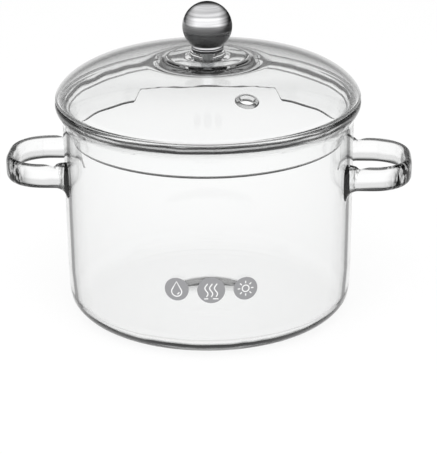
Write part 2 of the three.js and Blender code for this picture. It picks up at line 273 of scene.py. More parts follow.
def turned(corners, facets, closed=False, round_steps=4):
    """Joins the corners into an outline, rounds it and turns it about the Z axis."""
    corners = spread(corners)
    bm = bmesh.new()
    points = [bm.verts.new((c[0], 0, c[1])) for c in corners]
    ends = points[1:] + points[:1] if closed else points[1:]
    for a, b in zip(points, ends):
        bm.edges.new((a, b))
    for vert, corner in zip(points, corners):
        if len(corner) > 2:
            bmesh.ops.bevel(
                bm, geom=[vert], offset=corner[2], offset_type="OFFSET", segments=round_steps,
                profile=0.5, affect="VERTICES", material=-1,
            )
    bmesh.ops.spin(
        bm, geom=bm.verts[:] + bm.edges[:], cent=(0, 0, 0), axis=(0, 0, 1), dvec=(0, 0, 0),
        angle=TURN, steps=facets, use_merge=True, use_duplicate=False,
    )
    return tidy(bm)


def tidy(bm):
    bmesh.ops.remove_doubles(bm, verts=bm.verts, dist=MERGE_DISTANCE)
    bmesh.ops.recalc_face_normals(bm, faces=bm.faces)
    return bm


def new_piece(name, bm, *materials):
    mesh = bpy.data.meshes.new(name)
    bm.to_mesh(mesh)
    bm.free()
    piece = bpy.data.objects.new(name, mesh)
    bpy.context.scene.collection.objects.link(piece)
    for material in materials:
        mesh.materials.append(material)
    return piece


def keep_modifiers(piece):
    """Makes what the modifiers show the piece's own mesh."""
    view = bpy.context.evaluated_depsgraph_get()
    mesh = bpy.data.meshes.new_from_object(piece.evaluated_get(view))
    piece.modifiers.clear()
    old, name = piece.data, piece.data.name
    piece.data = mesh
    bpy.data.meshes.remove(old)
    mesh.name = name
    return piece


def soften(piece, levels=1):
    smooth = piece.modifiers.new("Soften", "SUBSURF")
    smooth.levels = smooth.render_levels = levels
    return keep_modifiers(piece)


def combine(piece, tool, operation, finish=0):
    """Joins the tool to the piece, or cuts it out, and removes the tool.

    Its faces get one of the piece's finishes, or keep their own where that is None.
    """
    for material in piece.data.materials:
        tool.data.materials.append(material)
    if finish is not None:
        for face in tool.data.polygons:
            face.material_index = finish
    change = piece.modifiers.new(operation.title(), "BOOLEAN")
    change.object, change.operation, change.solver = tool, operation, "EXACT"
    keep_modifiers(piece)
    mesh = tool.data
    bpy.data.objects.remove(tool)
    bpy.data.meshes.remove(mesh)
    return piece


def shade(piece, crease=32):
    piece.data.shade_smooth()
    piece.data.set_sharp_from_angle(angle=math.radians(crease))


def finish_piece(piece, body, slot, *nodes):
    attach(piece, body)
    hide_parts(*nodes)
    return piece


# Finishes
class Wiring:
    """Adds nodes to a material or a world and wires them up."""

    def __init__(self, owner):
        owner.use_nodes = True
        self.nodes, self.links = owner.node_tree.nodes, owner.node_tree.links

    def feed(self, socket, value):
        """Links a node's output to the socket, or sets the socket to a number or a colour."""
        if isinstance(value, bpy.types.NodeSocket):
            self.links.new(value, socket)
        else:
            socket.default_value = value

    def node(self, kind, inputs=(), output=0, **choices):
        """Adds a node, makes its choices, feeds its inputs and gives the output that is asked for."""
        node = self.nodes.new("ShaderNode" + kind)
        for name, value in choices.items():
            setattr(node, name, value)
        for socket, value in dict(inputs).items():
            self.feed(node.inputs[socket], value)
        return node.outputs[output]

    def math(self, operation, *values):
        return self.node("Math", enumerate(values), operation=operation)

    def vector_math(self, operation, *values, output="Vector"):
        return self.node("VectorMath", enumerate(values), output, operation=operation)

    def place(self, axis=None):
        """Where a point lies on the piece, or how far along one axis."""
        spot = self.node("TexCoord", output="Object")
        return self.node("SeparateXYZ", {"Vector": spot}, axis) if axis else spot

    def noise(self, fineness, detail, stretch=(1, 1, 1)):
        spot = self.node("Mapping", {"Vector": self.place(), "Scale": stretch}, "Vector")
        return self.node("TexNoise", {"Vector": spot, "Scale": fineness, "Detail": detail}, "Fac")

    def span(self, value, low, high, to_low, to_high):
        """Goes from one level to the other while the value goes from low to high."""
        return self.node("MapRange", {
            "Value": value, "From Min": low, "From Max": high, "To Min": to_low, "To Max": to_high,
        }, "Result")

    def mix(self, factor, low, high, kind="RGBA", blend="MIX"):
        return self.node(
            "Mix", {"Factor": factor, "A": low, "B": high}, "Result", data_type=kind, blend_type=blend
        )

    def ramp(self, value, stops):
        """Colour that follows a value from 0 to 1 through the given stops."""
        node = self.nodes.new("ShaderNodeValToRGB")
        elements = node.color_ramp.elements
        for place, _ in stops[1:-1]:
            elements.new(place)
        for element, (place, tint) in zip(elements, stops):
            element.position, element.color = place, tint
        self.feed(node.inputs["Fac"], value)
        return node.outputs["Color"]

    def shades(self, value, stops):
        """Brightness that follows a value from -1 to 1 through the given stops."""
        greys = [((place + 1) / 2, (grey, grey, grey, 1)) for place, grey in stops]
        return self.ramp(self.span(value, -1, 1, 0, 1), greys)

    def bump(self, height, strength, distance):
        return self.node("Bump", {"Height": height, "Strength": strength, "Distance": distance}, "Normal")


class Finish(Wiring):
    """A material and the inputs of its shader."""

    def __init__(self, name):
        self.material = bpy.data.materials.new(name)
        super().__init__(self.material)
        self.shader = self.nodes["Principled BSDF"]

    def done(self, values):
        """Feeds the shader and gives the material."""
        for socket, value in values.items():
            self.feed(self.shader.inputs[socket], value)
        return self.material


def darker(tint, light):
    return [c * light for c in tint[:3]] + [1]


GLASS_IOR = 1.47
SILICONE_IOR = 1.41
GRAIN_DEPTH = 0.02 * MM

# Painted shade: how bright the glass's colour is painted by how aslant it is seen, standing in for the dark edges
# that refraction shows: 0 is square on, 1 is edge on
CLEAR_TINTS = ((0, 1), (1, 1))
WALL_PAINTED_SHADE = (
    (0, 1), (0.52, 0.88), (0.66, 0.7), (0.72, 0.4), (0.745, 0.02), (0.8, 0), (0.82, 0.5), (0.86, 0.9), (1, 1),
)
SKIRT_PAINTED_SHADE = ((0, 1), (0.72, 1), (0.76, 0.3), (0.8, 0.3), (0.86, 0.85), (1, 1))
STRAP_PAINTED_SHADE = ((0, 1), (0.4, 0.9), (0.6, 0.35), (0.72, 0.03), (1, 0.03))
STRAP_INSIDE_PAINTED_SHADE = ((0, 1), (0.6, 0.9), (0.76, 0.6), (0.84, 0.05), (1, 0.05))
TOP_PAINTED_SHADE = ((0, 1), (0.7, 1), (0.74, 0.6), (0.79, 0.1), (0.84, 0.2), (0.9, 0.3), (1, 0.2))
FOOT_PAINTED_SHADE = ((0, 0.03), (1, 0.03))
VENT_RING_PAINTED_SHADE = ((0, 1), (0.3, 0.8), (0.42, 0.25), (0.55, 0.2), (0.62, 1), (0.7, 1), (0.77, 0.1), (1, 0.2))
VENT_HOLE_PAINTED_SHADE = ((0, 1), (0.35, 1), (0.5, 0.1), (0.68, 0.1), (0.8, 1), (1, 1))

# Rings of painted shade in the glass, standing in for the dark lines that refraction shows, in millimetres: what
# a ring goes by, its middle, half its width, how bright it is painted, and for a streaked ring the fineness of
# its streaks
POT_PAINTED_SHADE_RINGS = (
    ("Height", 121.3, 0.6, 0.02), ("Height", 118.9, 0.9, 0.02), ("Height", 120, 1.6, 0.5),
    ("Height", 11.2, 0.4, 0.75), ("Height", 7.6, 1.6, 0.6), ("Height", 6.9, 2, 0), ("Height", 0.9, 0.3, 0.3),
)
STRAP_PAINTED_SHADE_RINGS = (("Height", 78.1, 1.6, 0.05), ("Height", 81, 2, 0.6), ("Height", 90.3, 0.6, 0.05))
LOOP_END_PAINTED_SHADE_RINGS = STRAP_PAINTED_SHADE_RINGS + (("Radius", 112, 11, 0, 350),)
LID_INSIDE_PAINTED_SHADE_RINGS = (("Height", 120.4, 1.2, 0), ("Height", 117.8, 0.4, 0.05))
LID_TOP_PAINTED_SHADE_RINGS = (("Radius", 28, 0.4, 0.4), ("Radius", 24.6, 0.5, 0.1), ("Radius", 21.8, 0.3, 0.2))
RING_SWING = 1.6

# Clear blotches that break up the painted shade at the ends of the loops: radius of their middle, half the width
# of the zone that has them, in millimetres, and their fineness
LOOP_END_MOTTLES = ((109, 7, 350),)

# Fineness of the ripples of blown glass, and of the tighter and deeper ones where the straps are melted on
RIPPLES = 38
WELD_RIPPLES = 400
WELD_RIPPLE_DEPTH = 0.4 * MM


def clear_glass(name, tint, ripple, slant_painted_shade=CLEAR_TINTS, rings=(), mottles=(), one_way=False,
                dull=0, clearness=1, fineness=RIPPLES):
    """Blown glass: clear, darker where light enters it at a slant and along its rings.

    One-way glass paints its shade only on what is seen from its own side, not on what is seen from within the
    glass.
    Dull says how far the parts painted dark are also kept from mirroring. A streaked ring doesn't show from
    square on.
    """
    glass = Finish(name)
    from_axis = glass.vector_math("MULTIPLY", glass.place(), (1, 1, 0))
    goes_by = {
        "Radius": glass.vector_math("LENGTH", from_axis, output="Value"),
        "Height": glass.place("Z"),
    }
    slant = glass.node("LayerWeight", {"Blend": 0.5}, "Facing")
    colour_so_far = glass.ramp(slant, [(place, darker(tint, light)) for place, light in slant_painted_shade])

    wander = glass.noise(60, 1)
    for kind, middle, half, light, *streaks in rings:
        swing = min(half, RING_SWING)
        sway = glass.span(wander, 0, 1, (-middle - swing) * MM, (-middle + swing) * MM)
        away = glass.math("ABSOLUTE", glass.math("ADD", goes_by[kind], sway))
        fade = glass.span(away, 0.6 * half * MM, 1.3 * half * MM, light, 1)
        depth = 1
        for streak in streaks:
            cloud = glass.noise(streak, 2, (1, 1, 0.3))
            at_a_slant = glass.span(slant, 0.1, 0.25, 0, 1)
            depth = glass.math("MULTIPLY", glass.span(cloud, 0.54, 0.72, 1, 0.4), at_a_slant)
        colour_so_far = glass.mix(depth, colour_so_far, fade, blend="MULTIPLY")
    for middle, half, blotch in mottles:
        near = glass.math("COMPARE", goes_by["Radius"], middle * MM, half * MM)
        cloud = glass.noise(blotch, 2, (1, 1, 0.5))
        cleared = glass.math("MULTIPLY", near, glass.span(cloud, 0.5, 0.7, 0, 0.45))
        colour_so_far = glass.mix(cleared, colour_so_far, tint)
    if one_way:
        from_within = glass.node("NewGeometry", output="Backfacing")
        colour_so_far = glass.mix(from_within, colour_so_far, tint)

    values = {
        "Base Color": colour_so_far,
        "Roughness": 0,
        "IOR": GLASS_IOR,
        "Transmission Weight": clearness,
        "Normal": glass.bump(glass.noise(fineness, 1.5, (1, 1, 0.55)), 1, ripple),
    }
    if dull:
        values["Specular Tint"] = glass.mix(dull, (1, 1, 1, 1), colour_so_far)
    return glass.done(values)


def mark_inside(bm, middle):
    """Gives the inside's finish, the second, to the faces that look towards the middle."""
    for face in bm.faces:
        if (Vector(middle) - face.calc_center_median()).dot(face.normal) > 0:
            face.material_index = 1


# Painted shade on the steel: how bright its colour is painted by how far it faces upwards, darker the further it
# faces downwards
PAINTED_UNDERSIDE_SHADE = (
    (-1, 0.05), (-0.6, 0.07), (-0.5, 0.09), (-0.37, 0.17), (-0.2, 0.22), (-0.1, 0.3), (0.02, 0.35), (0.1, 0.5),
    (0.18, 0.72), (0.24, 1), (1, 1),
)


def turned_steel(name, tint):
    """Steel turned on a lathe, with fine rings round the upright axis, and painted shade that darkens it the
    further it faces downwards.
    """
    steel = Finish(name)
    rings = steel.noise(1, 4, (12, 12, 900))
    tone = steel.mix(steel.span(rings, 0.35, 0.6, 0, 1), darker(tint, 0.6), tint)
    normal = steel.node("NewGeometry", output="Normal")
    # Painted shade: the colour darkens the further the steel faces downwards.
    painted_shade_below = steel.shades(steel.node("SeparateXYZ", {"Vector": normal}, "Z"), PAINTED_UNDERSIDE_SHADE)
    return steel.done({
        "Metallic": 1,
        "Anisotropic": 0.7,
        "Tangent": steel.node("Tangent", output="Tangent", direction_type="RADIAL", axis="Z"),
        "Base Color": steel.mix(1, tone, painted_shade_below, blend="MULTIPLY"),
        "Roughness": steel.span(rings, 0.3, 0.7, 0.1, 0.2),
        "Normal": steel.bump(rings, 0.15, GRAIN_DEPTH),
    })


def bright_steel(name, tint):
    """Plated steel with a soft shine."""
    steel = Finish(name)
    grain = steel.noise(900, 3)
    return steel.done({
        "Metallic": 1,
        "Base Color": steel.mix(grain, darker(tint, 0.93), tint),
        "Roughness": steel.span(grain, 0.3, 0.7, 0.12, 0.24),
    })


def silicone_rubber(name, tint, clearness):
    """Soft rubber or milky silicone, which lets some light through."""
    rubber = Finish(name)
    cloud = rubber.noise(300, 2)
    return rubber.done({
        "Transmission Weight": clearness,
        "IOR": SILICONE_IOR,
        "Base Color": rubber.mix(cloud, darker(tint, 0.95), tint),
        "Roughness": rubber.span(cloud, 0.3, 0.7, 0.45, 0.6),
        "Normal": rubber.bump(cloud, 0.3, GRAIN_DEPTH),
    })


def printed_ink(name, tint):
    """Ink fired onto the glass, a little uneven."""
    ink = Finish(name)
    speck = ink.noise(1400, 3)
    return ink.done({
        "Base Color": ink.mix(speck, darker(tint, 0.88), tint),
        "Roughness": ink.span(speck, 0.3, 0.7, 0.4, 0.6),
    })


# Pot and handles
POT_OUTSIDE, POT_INSIDE, STRAP, LOOP_END, WELD = range(5)
STRAP_SIDES = 20
WELD_STEPS = 16
BEND_STEPS = 10
PUSH_UP_STEPS = 12


def flare(pot, from_share, steps):
    foot = pot.height - pot.wall / 2 - pot.flare_height
    points = []
    for i in range(steps + 1):
        part = from_share + (1 - from_share) * i / steps
        out = pot.flare_reach * math.sin(part * math.pi / 2) ** pot.flare_ease
        points.append((pot.radius + out, foot + pot.flare_height * part))
    return points


def pot_outline(pot):
    inner_corner = pot.base_corner - pot.wall
    lip = pot.radius + pot.flare_reach
    outside = flare(pot, 0, 8)
    return [
        *[(pot.push_up_radius * t, pot.push_up_rise * (1 - t ** 2))
          for t in (i / PUSH_UP_STEPS for i in range(PUSH_UP_STEPS))],
        (pot.push_up_radius, 0, pot.push_up_edge),
        (pot.radius, 0, pot.base_corner),
        *outside[:-1],
        (lip, pot.height, pot.wall / 2),
        (lip - pot.wall, pot.height, pot.wall / 2),
        *offset_left(outside, pot.wall)[-2::-1],
        (pot.radius - pot.wall, pot.base, inner_corner),
        (0, pot.base),
    ]


def strap_section(bm, half_thickness, above, below, fullness, place):
    """One section of the strap: a circle drawn out to flat sides, put in its place."""
    half_side = math.pi / STRAP_SIDES
    ring = bmesh.ops.create_circle(
        bm, segments=STRAP_SIDES, radius=half_thickness / math.cos(half_side),
        matrix=Matrix.Rotation(half_side, 4, "Z"),
    )["verts"]
    upper = [v for v in ring if v.co.y > 0]
    lower = [v for v in ring if v.co.y <= 0]
    bmesh.ops.scale(bm, verts=ring, vec=(1, fullness, 1))
    bmesh.ops.translate(bm, verts=upper, vec=(0, above - fullness * half_thickness, 0))
    bmesh.ops.translate(bm, verts=lower, vec=(0, fullness * half_thickness - below, 0))
    bmesh.ops.transform(bm, verts=ring, matrix=place)
    return list({e for v in ring for e in v.link_edges})


def handle_tool(pot, grip):
    """The strap from one weld to the other, ending inside the thickness of the wall."""
    centre = grip.reach - grip.strap_thickness / 2
    arm = (grip.width - grip.strap_thickness) / 2
    bend_radius = grip.bend - grip.strap_thickness / 2
    wall_x = math.sqrt(pot.radius ** 2 - arm ** 2)

    half = [(wall_x - 2 * pot.wall, -arm, 0), (wall_x - pot.wall / 2, -arm, 0)]
    half += [(wall_x + 2 * grip.weld_length * i / WELD_STEPS, -arm, 0) for i in range(WELD_STEPS + 1)]
    for i in range(BEND_STEPS + 1):
        turn = i / BEND_STEPS * math.pi / 2
        half.append((
            centre - bend_radius + bend_radius * math.sin(turn),
            -arm + bend_radius * (1 - math.cos(turn)),
            turn,
        ))
    stations = half + [(x, -y, math.pi - turn) for x, y, turn in reversed(half)]

    bm = bmesh.new()
    rings = []
    for x, y, heading in stations:
        out = min(max((x - wall_x) / grip.weld_length, 0), 2)
        hollow = 1 - math.sqrt(1 - max(1 - out, 0) ** 2)
        foot = math.sqrt(1 - min(out, 1) ** 2)
        waist = (1 - math.cos(math.pi * max(out, 1))) / 2
        side = Vector((math.sin(heading), -math.cos(heading), 0))
        along = Vector((math.cos(heading), math.sin(heading), 0))
        place = Matrix.Translation((x, y, grip.height)) @ Matrix(
            (side, Vector((0, 0, 1)), along)
        ).transposed().to_4x4()
        rings.append(strap_section(
            bm,
            grip.strap_thickness / 2 + grip.weld_swell * hollow,
            grip.strap_height / 2 - grip.weld_waist * waist + (grip.weld_rise + grip.weld_waist) * foot,
            grip.strap_height / 2 + grip.weld_drop * hollow,
            grip.strap_fullness,
            place,
        ))
    for a, b in zip(rings, rings[1:]):
        bmesh.ops.bridge_loops(bm, edges=a + b)
    for ring in (rings[0], rings[-1]):
        bmesh.ops.holes_fill(bm, edges=ring, sides=0)
    handle = soften(new_piece("strap", tidy(bm)))
    for face in handle.data.polygons:
        outwards = face.center.x * face.normal.x + face.center.y * face.normal.y > 0
        by_the_wall = face.center.x < pot.radius + 0.8 * grip.weld_length
        face.material_index = WELD if by_the_wall else LOOP_END if outwards else STRAP

    middle = bmesh.new()
    core = pot.radius - pot.wall / 2
    bmesh.ops.create_cone(
        middle, cap_ends=True, segments=2 * pot.facets, radius1=core, radius2=core, depth=2 * pot.height
    )
    return combine(handle, new_piece("core", middle), "DIFFERENCE")


class SAUCEPAN_OT_pot(bpy.types.Operator):
    """Blow the pot and melt both strap handles onto its wall"""

    bl_idname = "saucepan.pot"
    bl_label = "Pot and handles"

    def execute(self, context):
        sizes = settings(context)
        tint, ripple = sizes.finishes.glass, sizes.finishes.ripple
        # The glass finishes carry painted shade at a slant and along rings, darkest at the ends of the loops.
        glass = (
            clear_glass("pot_glass_outside", tint, ripple, WALL_PAINTED_SHADE, POT_PAINTED_SHADE_RINGS, one_way=True),
            clear_glass("pot_glass_inside", tint, ripple),
            clear_glass("strap_glass", tint, ripple, STRAP_INSIDE_PAINTED_SHADE, STRAP_PAINTED_SHADE_RINGS, one_way=True),
            clear_glass(
                "loop_end_glass", tint, ripple, STRAP_PAINTED_SHADE, LOOP_END_PAINTED_SHADE_RINGS, LOOP_END_MOTTLES,
                one_way=True, dull=1,
            ),
            clear_glass(
                "weld_glass", tint, WELD_RIPPLE_DEPTH, STRAP_INSIDE_PAINTED_SHADE, STRAP_PAINTED_SHADE_RINGS,
                one_way=True, fineness=WELD_RIPPLES,
            ),
        )
        blown = turned(pot_outline(sizes.pot), sizes.pot.facets)
        mark_inside(blown, (0, 0, sizes.pot.height / 2))
        pot = soften(new_piece("pot_glass", blown, *glass))
        for turn in (0, math.pi):
            handle = handle_tool(sizes.pot, sizes.handle)
            handle.data.transform(Matrix.Rotation(turn, 4, "Z"))
            combine(pot, handle, "UNION", None)
        shade(pot)
        finish_piece(pot, "pot", "glass", "pot_body", "right_handle", "left_handle")
        return {"FINISHED"}


# Lid glass, drawn from the height of the lip upwards
LID_OUTSIDE, LID_INSIDE, LID_TOP, LID_FOOT, VENT_HOLE, VENT_RING = range(6)
DOME_STEPS = 16
VENT_FACETS = 48
SLOPE_STEP = 0.3 * MM  # Over which the dome's slope at the vent is taken
NOTCH_EASE = 1.2  # How softly the notch's ends rise, in corner radii
FOOT_WAVES = (11, 7)  # Waves round the skirt's foot


def lid_levels(pot, lid):
    brim = pot.radius + pot.flare_reach - lid.brim_inset
    crown = lid.brim_height + lid.dome_rise
    boss = crown + lid.boss_rise
    return brim, crown, boss, boss + lid.pedestal_rise


def dome_height(pot, lid, r):
    brim = lid_levels(pot, lid)[0]
    fullness = (1 - (r / brim) ** lid.dome_flatness) ** (1 / lid.dome_shoulder)
    return lid.brim_height + lid.dome_rise * fullness


def dome_outline(pot, lid, steps):
    brim = lid_levels(pot, lid)[0]
    end = math.acos((lid.boss_foot / brim) ** (lid.dome_flatness / 2))
    points = []
    for i in range(steps + 1):
        a = end * i / steps
        r = brim * math.cos(a) ** (2 / lid.dome_flatness)
        points.append((r, lid.brim_height + lid.dome_rise * math.sin(a) ** (2 / lid.dome_shoulder)))
    return points


def lid_outline(pot, lid):
    """From the axis along the underside, down the skirt and back up over the brim and the dome."""
    brim, crown, boss, pedestal = lid_levels(pot, lid)
    bead = pot.wall / 2
    bead_r, bead_z = pot.radius + pot.flare_reach - bead, -bead
    clear = bead + lid.seat_gap
    seat = raised(offset_left(flare(pot, lid.seat_start, 6), pot.wall + lid.seat_gap), -pot.height)
    skirt_r = pot.radius - pot.wall - lid.skirt_clearance
    edge = lid.wall / 2
    dome = dome_outline(pot, lid, DOME_STEPS)
    ceiling = [p for p in offset_left(dome, lid.wall) if p[1] > bead_z + clear + lid.brim_floor]
    underside = crown - lid.wall
    return [
        (0, underside),
        (lid.boss_top, underside),
        *reversed(ceiling),
        *arc(bead_r, bead_z, clear + lid.brim_floor, 118, 150, 3),
        *reversed(offset_left(seat, lid.wall)),
        (skirt_r - lid.wall, edge - lid.skirt_top),
        (skirt_r - lid.wall - lid.skirt_draft, -lid.skirt_depth, edge * 0.98),
        (skirt_r - lid.skirt_draft, -lid.skirt_depth, edge * 0.98),
        (skirt_r, -lid.skirt_top),
        *seat,
        *arc(bead_r, bead_z, clear, 160, 110, 3),
        *arc(brim - lid.brim_edge, lid.brim_height, lid.brim_edge, -75, -25, 3),
        *dome,
        *bend(
            (lid.boss_top + lid.boss_edge * 2, boss - lid.boss_edge / 2),
            (lid.boss_top + lid.boss_edge, boss), (lid.boss_top, boss), 4,
        ),
        *bend(
            (lid.pedestal + lid.pedestal_sweep, boss), (lid.pedestal + lid.boss_edge / 4, boss),
            (lid.pedestal, pedestal), 8,
        ),
        (lid.pedestal - lid.boss_edge / 4, pedestal),
        (0, pedestal),
    ]


def at_vent(pot, lid):
    outer, inner = (dome_height(pot, lid, lid.vent_distance + step) for step in (SLOPE_STEP, -SLOPE_STEP))
    return (
        Matrix.Rotation(lid.vent_azimuth, 4, "Z")
        @ Matrix.Translation((lid.vent_distance, 0, dome_height(pot, lid, lid.vent_distance)))
        @ Matrix.Rotation(math.atan2(inner - outer, 2 * SLOPE_STEP), 4, "Y")
    )


def vent_ring(pot, lid):
    tube = (lid.vent_ring - lid.vent_hole) / 2
    centre = lid.vent_hole + tube
    corners = [(centre + tube * math.cos(a), lid.vent_rise * math.sin(a))
               for a in (TURN * i / 12 for i in range(12))]
    ring = soften(new_piece("vent_ring", turned(corners, VENT_FACETS, closed=True)))
    ring.data.transform(at_vent(pot, lid))
    return ring


def vent_hole(pot, lid):
    """A hole with melted, widening edges above and below."""
    wide = lid.vent_hole + lid.vent_flare
    corners = [
        (0, -2 * lid.wall), (wide + lid.vent_flare, -2 * lid.wall), (wide, -lid.wall),
        (lid.vent_hole, -lid.wall / 2, lid.vent_flare), (lid.vent_hole, -lid.wall / 4, lid.vent_flare),
        (wide, lid.vent_rise), (wide + lid.vent_flare, lid.wall), (0, lid.wall),
    ]
    hole = new_piece("vent_hole", turned(corners, VENT_FACETS))
    hole.data.transform(at_vent(pot, lid))
    return hole


def press_notch(piece, pot, lid):
    """Raises the skirt's rounded edge to a notch at the back, highest at its two ends."""
    back = pot.radius - pot.wall - lid.skirt_clearance
    for vert in piece.data.vertices:
        x, y, z = vert.co
        hang = (-lid.skirt_top - z) / (lid.skirt_depth - lid.skirt_top)
        if y > 0 and hang > 0:
            inset = (lid.notch_width / 2 + lid.notch_corner / 2 - abs(x)) / (NOTCH_EASE * lid.notch_corner)
            inset = min(max(inset, 0), 1)
            lift = (lid.notch_depth + math.tan(lid.notch_tilt) * (back - y)) * inset * inset * (3 - 2 * inset)
            wave = lid.foot_wave * math.prod(math.sin(turns * math.atan2(y, x)) for turns in FOOT_WAVES)
            vert.co.z += hang * (lift + wave + lid.skirt_tilt * y / back)


class SAUCEPAN_OT_lid(bpy.types.Operator):
    """Press the lid glass, with its boss, vent and notched skirt"""

    bl_idname = "saucepan.lid"
    bl_label = "Lid glass"

    def execute(self, context):
        sizes = settings(context)
        pot, lid = sizes.pot, sizes.lid
        tint, ripple = sizes.finishes.glass, sizes.finishes.ripple
        pressed = turned(lid_outline(pot, lid), lid.facets)
        mark_inside(pressed, (0, 0, -lid.skirt_top))
        # The lid's finishes carry painted shade at a slant, along rings and on the skirt's foot; the vent hole's
        # wall is painted dark and lets less light through.
        piece = soften(new_piece(
            "lid_dome", pressed,
            clear_glass("lid_glass_outside", tint, ripple, SKIRT_PAINTED_SHADE),
            clear_glass("lid_glass_inside", tint, ripple, rings=LID_INSIDE_PAINTED_SHADE_RINGS, dull=0.9),
            clear_glass("lid_glass_top", tint, ripple, TOP_PAINTED_SHADE, LID_TOP_PAINTED_SHADE_RINGS, dull=0.6),
            clear_glass("lid_glass_foot", tint, ripple, FOOT_PAINTED_SHADE),
            clear_glass("lid_glass_hole", tint, ripple, VENT_HOLE_PAINTED_SHADE, clearness=0.4),
            clear_glass("lid_glass_ring", tint, ripple, VENT_RING_PAINTED_SHADE),
        ))
        for face in piece.data.polygons:
            if face.center.z > lid.brim_height and face.normal.z > 0:
                face.material_index = LID_TOP
            elif face.center.z < lid.skirt_foot - lid.skirt_depth:
                face.material_index = LID_FOOT
        press_notch(piece, pot, lid)
        combine(piece, vent_ring(pot, lid), "UNION", VENT_RING)
        combine(piece, vent_hole(pot, lid), "DIFFERENCE", VENT_HOLE)
        bore = bmesh.new()
        pedestal = lid_levels(pot, lid)[3]
        bmesh.ops.create_cone(
            bore, cap_ends=True, segments=96, radius1=lid.bore, radius2=lid.bore, depth=2 * lid.dome_rise,
            matrix=Matrix.Translation((0, 0, pedestal)),
        )
        combine(piece, new_piece("bore", bore), "DIFFERENCE", LID_INSIDE)
        piece.data.transform(Matrix.Translation((0, 0, pot.height)) @ Matrix.Rotation(lid.turn, 4, "Z"))
        shade(piece)
        finish_piece(piece, "lid", "glass", "lid_glass")
        return {"FINISHED"}


# Knob, drawn from the top of the pedestal upwards
KNOB_FACETS = 64
BALL_STEPS = 28
BALL_INSIDE_STEPS = 20
# Roundings and the groove's half width, as shares of the groove, the seal, the washer and the screw
GROOVE_EDGE = 0.45
GROOVE_HALF_WIDTH = 0.7
SEAL_EDGE = 0.35
WASHER_EDGE = 0.25
TIP_EDGE = 0.3


def knob_levels(sizes):
    pot, lid, knob = sizes.pot, sizes.lid, sizes.knob
    _, crown, _, pedestal = lid_levels(pot, lid)
    levels = {"pedestal": pot.height + pedestal}
    levels["collar_foot"] = knob.upper_seal
    levels["collar_top"] = knob.upper_seal + knob.collar_height
    levels["ball_cut"] = math.sqrt(knob.radius ** 2 - knob.collar_radius ** 2)
    levels["ball_centre"] = levels["collar_top"] + levels["ball_cut"]
    levels["ball_inside"] = knob.radius - knob.wall
    levels["ball_mouth"] = math.sqrt(levels["ball_inside"] ** 2 - levels["ball_cut"] ** 2)
    levels["seal_top"] = crown - lid.wall - pedestal
    levels["washer_top"] = levels["seal_top"] - knob.lower_seal
    levels["screw_seat"] = levels["washer_top"] - knob.washer
    levels["insert_top"] = levels["collar_top"] + knob.insert_length
    levels["pin_hole"] = knob.screw + knob.clearance
    return levels


def knob_piece(name, corners, level, material, slot, node, closed=True):
    """Turns a piece of the knob. The ball, whose outline is open at the axis, is smoothed as well."""
    bm = turned(corners, KNOB_FACETS, closed, round_steps=3)
    bmesh.ops.translate(bm, verts=bm.verts, vec=(0, 0, level["pedestal"]))
    piece = new_piece(name, bm, material)
    if not closed:
        soften(piece)
    shade(piece)
    return finish_piece(piece, "lid", slot, node)


class SAUCEPAN_OT_ball(bpy.types.Operator):
    """Spin the hollow steel ball and the grooved collar under it"""

    bl_idname = "saucepan.ball"
    bl_label = "Ball and collar"

    def execute(self, context):
        sizes = settings(context)
        knob, level = sizes.knob, knob_levels(sizes)
        steel = turned_steel("turned_steel", sizes.finishes.turned_steel)
        start = math.degrees(math.atan2(-level["ball_cut"], knob.collar_radius))
        end = math.degrees(math.atan2(-level["ball_cut"], level["ball_mouth"]))
        shell = [
            *arc(0, level["ball_centre"], level["ball_inside"], 90, end, BALL_INSIDE_STEPS),
            *arc(0, level["ball_centre"], knob.radius, start, 90, BALL_STEPS),
        ]
        ball = knob_piece("steel_ball", shell, level, steel, "knob_steel", "knob_ball", closed=False)
        ball.visible_glossy = False

        foot, top, groove = level["collar_foot"], level["collar_top"], knob.collar_groove
        middle, edge = (foot + top) / 2, groove * GROOVE_EDGE
        collar = [
            (level["pin_hole"], foot),
            (knob.collar_radius - groove, foot, edge),
            (knob.collar_radius, foot + groove, edge),
            (knob.collar_radius, middle - groove * GROOVE_HALF_WIDTH, edge / 2),
            (knob.collar_radius - groove, middle, edge / 2),
            (knob.collar_radius, middle + groove * GROOVE_HALF_WIDTH, edge / 2),
            (knob.collar_radius, top - groove, edge),
            (knob.collar_radius - groove, top, edge),
            (level["pin_hole"], top),
        ]
        knob_piece("steel_collar", collar, level, steel, "knob_steel", "knob_collar")
        return {"FINISHED"}


class SAUCEPAN_OT_insert(bpy.types.Operator):
    """Turn the threaded insert in the mouth of the ball"""

    bl_idname = "saucepan.insert"
    bl_label = "Insert"

    def execute(self, context):
        sizes = settings(context)
        knob, level = sizes.knob, knob_levels(sizes)
        bore, edge = knob.screw + knob.thread_clearance, knob.clearance
        flange = level["ball_mouth"] - knob.insert_clearance
        foot, top = level["collar_top"], level["insert_top"]
        outline = [
            (bore, foot, edge), (flange, foot, edge), (flange, foot + knob.insert_flange, edge),
            (knob.insert_boss, foot + knob.insert_flange, edge), (knob.insert_boss, top, edge), (bore, top, edge),
        ]
        steel = bright_steel("bright_steel_insert", sizes.finishes.bright_steel)
        knob_piece("threaded_insert", outline, level, steel, "screw_steel", "knob_insert")
        return {"FINISHED"}


